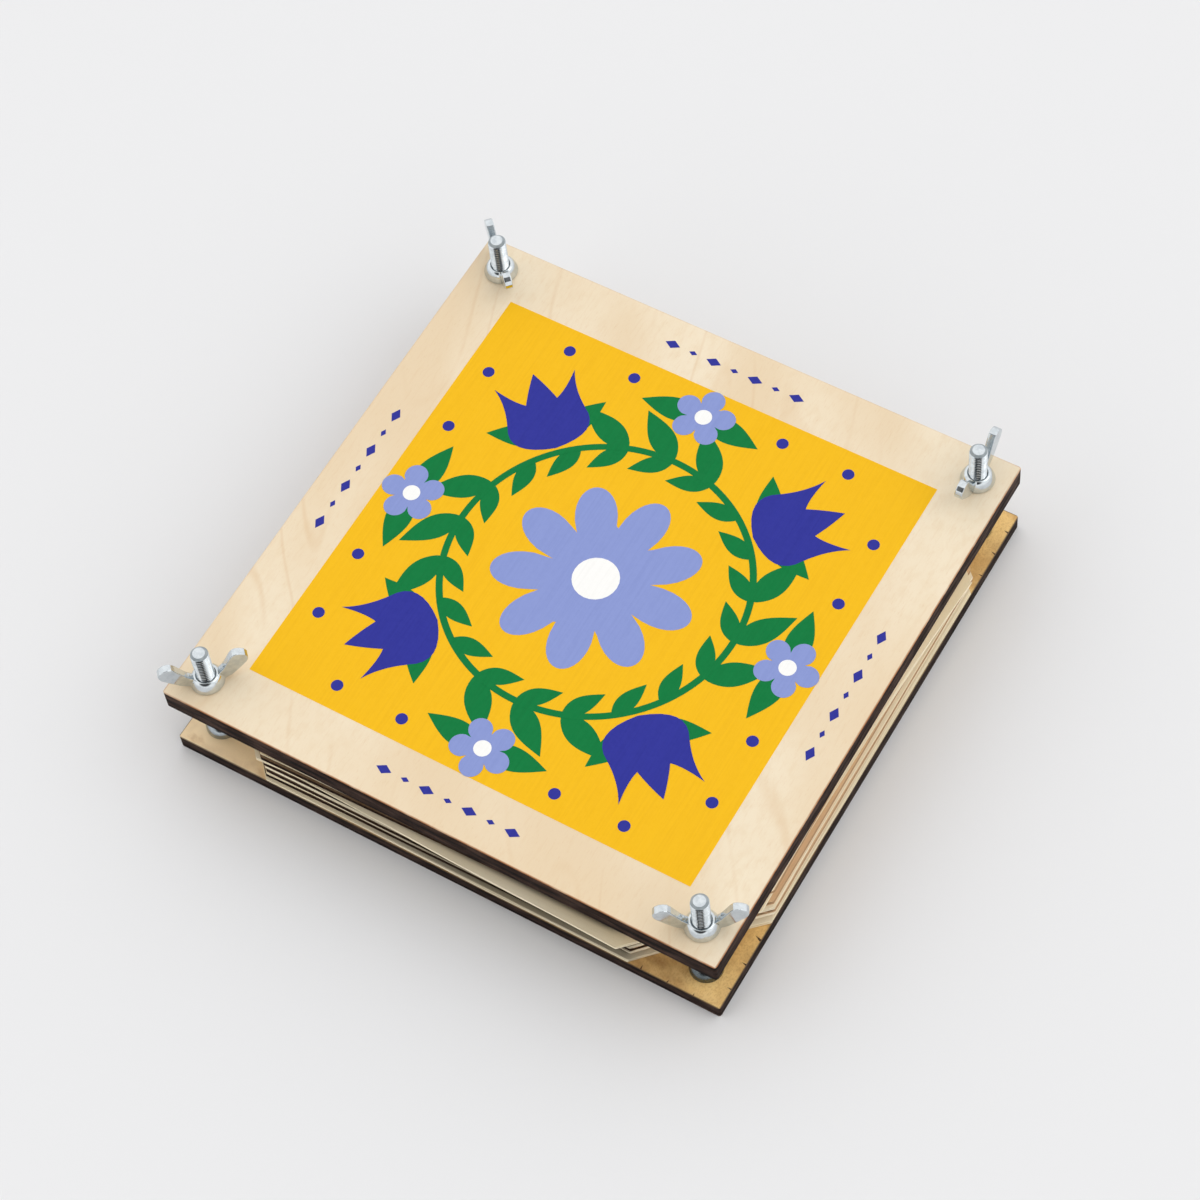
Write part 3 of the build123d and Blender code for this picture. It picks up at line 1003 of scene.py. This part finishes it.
lozenge_width = 2.6 * mm
lozenge_step = 6.2 * mm
lozenges_each_way = 3
small_lozenge_share = 0.55
diagonals = [math.radians(45 + 90 * k) for k in range(4)]
rights = [math.radians(90 * k) for k in range(4)]

square = [(print_half * sx, print_half * sy) for sx, sy in ((1, 1), (-1, 1), (-1, -1), (1, -1))]
print_shape("print_yellow", prism(square, ground_low, ground_high), yellow_ink)

leaf_spots = []
for k in range(wreath_steps):
    angle = 2 * math.pi * k / wreath_steps
    leaf_spots.append(at_polar(wreath_r, angle, motif_low, angle + math.pi - leaf_lean, inner_leaf_share))
    if min(abs(angle - diagonal) for diagonal in diagonals) > tulip_clear:
        leaf_spots.append(at_polar(wreath_r, angle, motif_low, angle + leaf_lean))
for side in (1, -1):
    for angle in diagonals:
        leaf_spots.append(at_polar(tulip_leaf_at, angle, motif_low + 2 * ink_bite, angle + side * tulip_leaf_lean))
    for angle in rights:
        leaf_spots.append(at_polar(side_flower_at, angle, motif_low + 2 * ink_bite, angle + side * side_leaf_lean))
print_motif("print_leaves", leaf_outline(leaf_length, leaf_width), leaf_spots, green_ink)

wreath_in, wreath_out = wreath_r - wreath_band / 2, wreath_r + wreath_band / 2
wreath_top = heart_high - 2 * ink_bite
wreath = [(wreath_in, motif_low), (wreath_out, motif_low), (wreath_out, wreath_top), (wreath_in, wreath_top)]
print_shape("print_wreath", lathe(wreath, (0, 0), wreath_sides, hollow=True), green_ink)
daisy = lobed_outline(daisy_reach, daisy_petals, daisy_waist, daisy_steps)
print_shape("print_daisy", prism(daisy, motif_low, motif_high), periwinkle_ink)
tulip_spots = [at_polar(tulip_at, angle, heart_low, angle) for angle in diagonals]
print_motif("print_tulips", tulip_outline(tulip_height, tulip_width), tulip_spots, blue_ink)
small_flower = lobed_outline(side_flower_reach, side_petals, side_waist, side_steps)
small_spots = [at_polar(side_flower_at, angle, heart_low, angle) for angle in rights]
print_motif("print_side_flowers", small_flower, small_spots, periwinkle_ink)

heart = lobed_outline(side_heart_r, 0, 0.0, heart_steps)
heart_spots = [at_polar(side_flower_at, angle, heart_high - ink_bite, 0.0) for angle in rights]
heart_spots.append((0, 0, motif_high - ink_bite, 0.0, daisy_heart_r / side_heart_r))
print_motif("print_hearts", heart, heart_spots, white_ink)
dot_spots = []
for angle in diagonals:
    for side in (1, -1):
        for far, apart in ((outer_dots_at, outer_dots_apart), (inner_dots_at, inner_dots_apart)):
            dot_spots.append(at_polar(far, angle + side * apart, motif_low, 0.0, dot_r / side_heart_r))
print_motif("print_dots", heart, dot_spots, blue_ink)

margin_at = (print_half + top_high[0]) / 2
half_l, half_w = lozenge_length / 2, lozenge_width / 2
lozenge = [(half_l, 0), (0, half_w), (-half_l, 0), (0, -half_w)]
lozenge_spots = []
for angle in rights:
    for k in range(-lozenges_each_way, lozenges_each_way + 1):
        side = Vector((margin_at, k * lozenge_step, 0))
        side.rotate(Matrix.Rotation(angle, 3, "Z"))
        size = 1.0 if k % 2 else small_lozenge_share
        lozenge_spots.append((side.x, side.y, ink_z - ink_bite, angle + math.pi / 2, size))
print_motif("print_margins", lozenge, lozenge_spots, blue_ink)

# Wing nuts: cast and zinc-plated, with two ears for the fingers on a round boss with a countersunk mouth.
# One runs on every bolt and pulls the top board down. Each has stopped at an angle of its own.
wing_span = 23.1 * mm
wing_height = 10.4 * mm
wing_t = 2.1 * mm
wing_turns = {"front": 30.1, "left": 43.8, "right": 90.6, "rear": -44.2}
cast_grain = 0.12 * mm
cast_softness, cast_smoothing = 0.5, 6
cast_crease = 180.0
boss_profile = [(4.35, 0.0), (4.58, 0.18), (4.58, 0.5), (4.42, 1.0), (4.22, 1.5), (4.02, 1.95), (3.82, 2.35)]
boss_profile += [(3.58, 2.75), (3.3, 3.05), (3.0, 3.24), (2.75, 3.3), (2.56, 3.18), (2.5, 2.95), (2.5, 0.0)]
wing_shares = [(0.24, 0.04), (0.40, 0.06), (0.56, 0.15), (0.76, 0.36), (0.95, 0.59), (0.99, 0.69), (1.0, 0.79)]
wing_shares += [(0.95, 0.89), (0.86, 0.965), (0.76, 0.99), (0.68, 0.965), (0.61, 0.87), (0.50, 0.65), (0.40, 0.46)]
wing_shares += [(0.24, 0.27)]
nut_zinc = zinc("wing_nut_zinc", srgb(210, 216, 219), srgb(195, 202, 206), rough=(0.07, 0.14))
for corner in corner_names:
    spot = bolt_spots[corner]
    floor_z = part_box(f"wing_nut_{corner}")[0][2]
    boss = [(radius * mm, up * mm) for radius, up in boss_profile]
    shapes = [lathe(boss, (0, 0), nut_sides, hollow=True)]
    for side in (1, -1):
        ear = [(side * out * wing_span / 2, -wing_t / 2, up * wing_height) for out, up in wing_shares]
        shapes.append(stack_rings([ear, [(x, wing_t / 2, z) for x, y, z in ear]]))
    nut = piece_of(f"wing_nut_{corner}_cast", together(shapes))
    cast = nut.modifiers.new("cast", "REMESH")
    cast.mode, cast.voxel_size = "VOXEL", cast_grain
    soft = nut.modifiers.new("soft", "SMOOTH")
    soft.factor, soft.iterations = cast_softness, cast_smoothing
    settle(nut)
    turn = Matrix.Rotation(math.radians(wing_turns[corner]), 4, "Z")
    nut.data.transform(Matrix.Translation((spot[0], spot[1], floor_z)) @ turn)
    dress(nut, nut_zinc)
    smooth(nut.data, cast_crease)
    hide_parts(f"wing_nut_{corner}")
    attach(nut, f"nut_{corner}")

# Table and light: a pale matt table top under a wide soft light from the right, as by a large window.
# The camera looks down on the front corner with a long lens. The room is dark on the camera's side, which draws
# the dark stripes in the metal.
table_half = 20.0
table_pale, table_grey = srgb(236, 236, 237), srgb(234, 234, 235)
wash_noise, table_rough = ((400.0, 400.0, 400.0), 1.0), (0.8, 0.85)
table_finish, shader, place = finish("pale_table")
wash = cloud(place, *wash_noise)
coat(shader, tint(wash, table_pale, table_grey), across(wash, *table_rough), wash, 0.0)
table_points = [(table_half * sx, table_half * sy, 0.0) for sx, sy in ((-1, -1), (1, -1), (1, 1), (-1, 1))]
table = piece_of("table", (table_points, [(0, 1, 2, 3)]))
dress(table, table_finish)

window_from = Vector((0.80, 0.42, 1.0))
window_strength = 0.25
window_width = math.radians(42)
window = bpy.data.lights.new("window", "SUN")
window.energy, window.angle = window_strength, window_width
window_lamp = bpy.data.objects.new("window", window)
window_lamp.rotation_euler = window_from.to_track_quat("Z", "Y").to_euler()
bpy.context.scene.collection.objects.link(window_lamp)

wall_light = (-0.40, 0.95, 1.17, 1.19)
horizon_light = (0.0, 0.4, 0.95, 1.0)
dark_side = Vector((0.18, -0.64, 0.75))
dark_edge = math.radians(37)
dark_core = math.radians(20)
dark_level = 0.05
room = bpy.data.worlds.new("room")
room.use_nodes = True
tree = room.node_tree
tree.nodes.clear()
ray = node(tree, "ShaderNodeTexCoord").outputs["Generated"]
x, y, z = axes(ray)
walls = grade(measure("DOT_PRODUCT", ray, window_from.normalized()), *wall_light)
towards_dark = measure("DOT_PRODUCT", ray, dark_side.normalized())
dark = grade(towards_dark, math.cos(dark_edge), math.cos(dark_core), 1.0, dark_level)
walls = times(walls, grade(z, *horizon_light), dark)
light = node(tree, "ShaderNodeBackground", {"Color": (1.0, 1.0, 1.0, 1.0), "Strength": walls})
node(tree, "ShaderNodeOutputWorld", {"Surface": light.outputs[0]})
bpy.context.scene.world = room

eye = Vector((274.68, -360.16, 768.83)) * mm
aim = Vector((4.13, -4.93, 28.04)) * mm
tilt = math.radians(-8.045)
lens = bpy.data.cameras.new("camera")
lens.sensor_width, lens.lens = 36.0, 102.565
lens.clip_start = 10 * mm
camera = bpy.data.objects.new("camera", lens)
camera.location = eye
look = (aim - eye).to_track_quat("-Z", "Y").to_matrix().to_4x4()
camera.rotation_euler = (look @ Matrix.Rotation(tilt, 4, "Z")).to_euler()
bpy.context.scene.collection.objects.link(camera)
bpy.context.scene.camera = camera
bpy.context.scene.view_settings.view_transform = "Standard"
